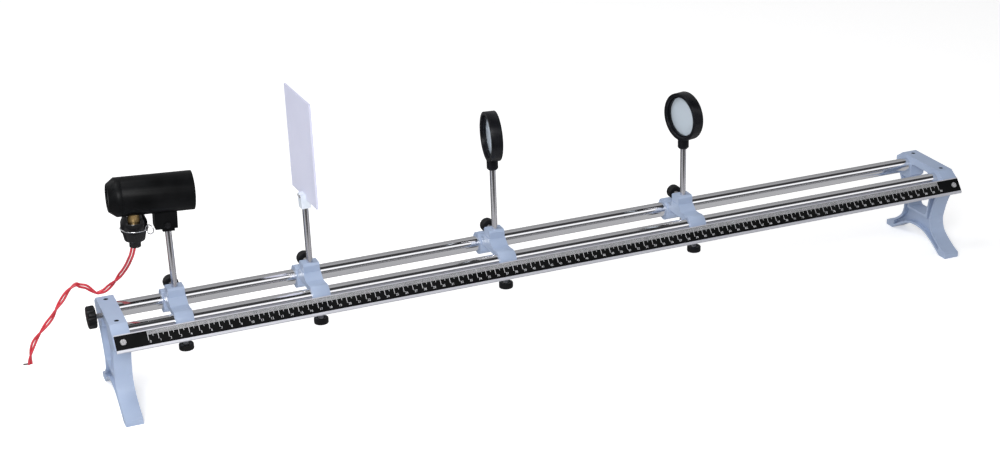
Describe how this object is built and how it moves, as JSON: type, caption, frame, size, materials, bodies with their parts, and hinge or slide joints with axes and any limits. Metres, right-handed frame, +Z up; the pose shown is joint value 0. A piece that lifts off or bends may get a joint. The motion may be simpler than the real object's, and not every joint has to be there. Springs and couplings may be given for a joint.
{
  "type": "optical bench",
  "caption": "Optical bench: cast end supports joined by parallel steel rods with a ruled scale; sliding riders carry a lamp house, a white screen and lens holders on adjustable posts.",
  "frame": {"origin": "on the table under the middle of the bench, measured over the end knob and without the lead", "axes": "+X along the rods from the lamp end to the far end, -Y towards the side with the scale, +Z up"},
  "size_m": [1.0383, 0.1223, 0.2905],
  "materials": {
    "cast_blue": "satin pale blue-grey enamel on cast metal",
    "rod_steel": "polished plate",
    "screw_steel": "turned",
    "screw_dark": "blackened",
    "rail_aluminium": "satin anodised",
    "scale_black": "matt black with white marks",
    "knob_black": "satin moulded",
    "satin_black": "satin black",
    "disc_aluminium": "bright pressed sheet",
    "lens_glass": "clear polished",
    "holder_black": "moulded",
    "base_brass": "satin",
    "wire_steel": "bright wire",
    "lead_red": "soft sleeve on stranded wire",
    "tip_dark": "tarnished bare strands",
    "screen_white": "matt white paint"
  },
  "bodies": {
    "bench": {"left_support": "cast_blue", "right_support": "cast_blue", "rear_rod": "rod_steel", "front_rod": "rod_steel", "rod_screws": "screw_dark", "scale_rail": "rail_aluminium", "scale_plate": "scale_black", "scale_screws": "screw_steel"},
    "end_screw": {"end_knob": "knob_black", "end_stud": "screw_steel"},
    "lamp_carriage": {"lamp_rider": "cast_blue"},
    "lamp_clamp_screw": {"lamp_clamp_knob": "knob_black", "lamp_clamp_stud": "screw_steel"},
    "lamp_post_screw": {"lamp_post_knob": "knob_black", "lamp_post_stud": "screw_steel"},
    "lamp_stem": {"lamp_post": "rod_steel"},
    "lamp_head": {"lamp_tube": "satin_black", "lamp_rear_cap": "satin_black", "lamp_rear_disc": "disc_aluminium", "lamp_front_lens": "lens_glass", "lamp_front_ring": "satin_black", "lamp_block": "satin_black", "lamp_block_screw": "screw_dark", "lamp_holder_collar": "holder_black", "lamp_holder_cap": "holder_black", "bulb_base": "base_brass", "bulb_glass": "lens_glass", "lamp_wire_clip": "wire_steel", "lead": "lead_red", "lead_tip": "tip_dark"},
    "screen_carriage": {"screen_rider": "cast_blue"},
    "screen_clamp_screw": {"screen_clamp_knob": "knob_black", "screen_clamp_stud": "screw_steel"},
    "screen_post_screw": {"screen_post_knob": "knob_black", "screen_post_stud": "screw_steel"},
    "screen_stem": {"screen_post": "rod_steel"},
    "screen_head": {"screen_sheet": "screen_white", "screen_clip": "screen_white", "screen_rivets": "screw_steel"},
    "near_lens_carriage": {"near_lens_rider": "cast_blue"},
    "near_lens_clamp_screw": {"near_lens_clamp_knob": "knob_black", "near_lens_clamp_stud": "screw_steel"},
    "near_lens_post_screw": {"near_lens_post_knob": "knob_black", "near_lens_post_stud": "screw_steel"},
    "near_lens_stem": {"near_lens_post": "rod_steel"},
    "near_lens_head": {"near_lens_ring": "satin_black", "near_lens_glass": "lens_glass", "near_lens_retainer": "satin_black", "near_lens_hub": "satin_black"},
    "far_lens_carriage": {"far_lens_rider": "cast_blue"},
    "far_lens_clamp_screw": {"far_lens_clamp_knob": "knob_black", "far_lens_clamp_stud": "screw_steel"},
    "far_lens_post_screw": {"far_lens_post_knob": "knob_black", "far_lens_post_stud": "screw_steel"},
    "far_lens_stem": {"far_lens_post": "rod_steel"},
    "far_lens_head": {"far_lens_ring": "satin_black", "far_lens_glass": "lens_glass", "far_lens_retainer": "satin_black", "far_lens_hub": "satin_black"}
  },
  "joints": [
    {"name": "end_screw_turn", "type": "hinge", "parent": "bench", "child": "end_screw", "pos_m": [-0.4734, 0, 0.09525], "axis": [1, 0, 0], "range_deg": [0, 450]},
    {"name": "lamp_slide", "type": "slide", "parent": "bench", "child": "lamp_carriage", "axis": [1, 0, 0], "range_m": [-0.045, 0.029]},
    {"name": "lamp_clamp_turn", "type": "hinge", "parent": "lamp_carriage", "child": "lamp_clamp_screw", "pos_m": [-0.4002, -0.0278, 0.0722], "axis": [0, 0, 1], "range_deg": [0, 270]},
    {"name": "lamp_lock_turn", "type": "hinge", "parent": "lamp_carriage", "child": "lamp_post_screw", "pos_m": [-0.4002, 0.0096, 0.1081], "axis": [0, 1, 0], "range_deg": [0, 270]},
    {"name": "lamp_height", "type": "slide", "parent": "lamp_carriage", "child": "lamp_stem", "axis": [0, 0, 1], "range_m": [-0.025, 0.013]},
    {"name": "lamp_turn", "type": "hinge", "parent": "lamp_stem", "child": "lamp_head", "pos_m": [-0.4002, 0, 0.173], "axis": [0, 0, 1], "range_deg": [-35, 2]},
    {"name": "screen_slide", "type": "slide", "parent": "bench", "child": "screen_carriage", "axis": [1, 0, 0], "range_m": [-0.03, 0.066]},
    {"name": "screen_clamp_turn", "type": "hinge", "parent": "screen_carriage", "child": "screen_clamp_screw", "pos_m": [-0.2614, -0.0278, 0.0722], "axis": [0, 0, 1], "range_deg": [0, 270]},
    {"name": "screen_lock_turn", "type": "hinge", "parent": "screen_carriage", "child": "screen_post_screw", "pos_m": [-0.2614, 0.0096, 0.1081], "axis": [0, 1, 0], "range_deg": [0, 270]},
    {"name": "screen_height", "type": "slide", "parent": "screen_carriage", "child": "screen_stem", "axis": [0, 0, 1], "range_m": [-0.056, 0.013]},
    {"name": "screen_turn", "type": "hinge", "parent": "screen_stem", "child": "screen_head", "pos_m": [-0.2614, 0, 0.172], "axis": [0, 0, 1], "continuous": true},
    {"name": "near_lens_slide", "type": "slide", "parent": "bench", "child": "near_lens_carriage", "axis": [1, 0, 0], "range_m": [-0.066, 0.082]},
    {"name": "near_lens_clamp_turn", "type": "hinge", "parent": "near_lens_carriage", "child": "near_lens_clamp_screw", "pos_m": [-0.0589, -0.0278, 0.0722], "axis": [0, 0, 1], "range_deg": [0, 270]},
    {"name": "near_lens_lock_turn", "type": "hinge", "parent": "near_lens_carriage", "child": "near_lens_post_screw", "pos_m": [-0.0589, 0.0096, 0.1081], "axis": [0, 1, 0], "range_deg": [0, 270]},
    {"name": "near_lens_height", "type": "slide", "parent": "near_lens_carriage", "child": "near_lens_stem", "axis": [0, 0, 1], "range_m": [-0.062, 0.007]},
    {"name": "near_lens_turn", "type": "hinge", "parent": "near_lens_stem", "child": "near_lens_head", "pos_m": [-0.0589, 0, 0.1784], "axis": [0, 0, 1], "continuous": true},
    {"name": "far_lens_slide", "type": "slide", "parent": "bench", "child": "far_lens_carriage", "axis": [1, 0, 0], "range_m": [-0.082, 0.296]},
    {"name": "far_lens_clamp_turn", "type": "hinge", "parent": "far_lens_carriage", "child": "far_lens_clamp_screw", "pos_m": [0.1631, -0.0278, 0.0722], "axis": [0, 0, 1], "range_deg": [0, 270]},
    {"name": "far_lens_lock_turn", "type": "hinge", "parent": "far_lens_carriage", "child": "far_lens_post_screw", "pos_m": [0.1631, 0.0096, 0.1081], "axis": [0, 1, 0], "range_deg": [0, 270]},
    {"name": "far_lens_height", "type": "slide", "parent": "far_lens_carriage", "child": "far_lens_stem", "axis": [0, 0, 1], "range_m": [-0.05, 0.02]},
    {"name": "far_lens_turn", "type": "hinge", "parent": "far_lens_stem", "child": "far_lens_head", "pos_m": [0.1631, 0, 0.1658], "axis": [0, 0, 1], "continuous": true}
  ]
}
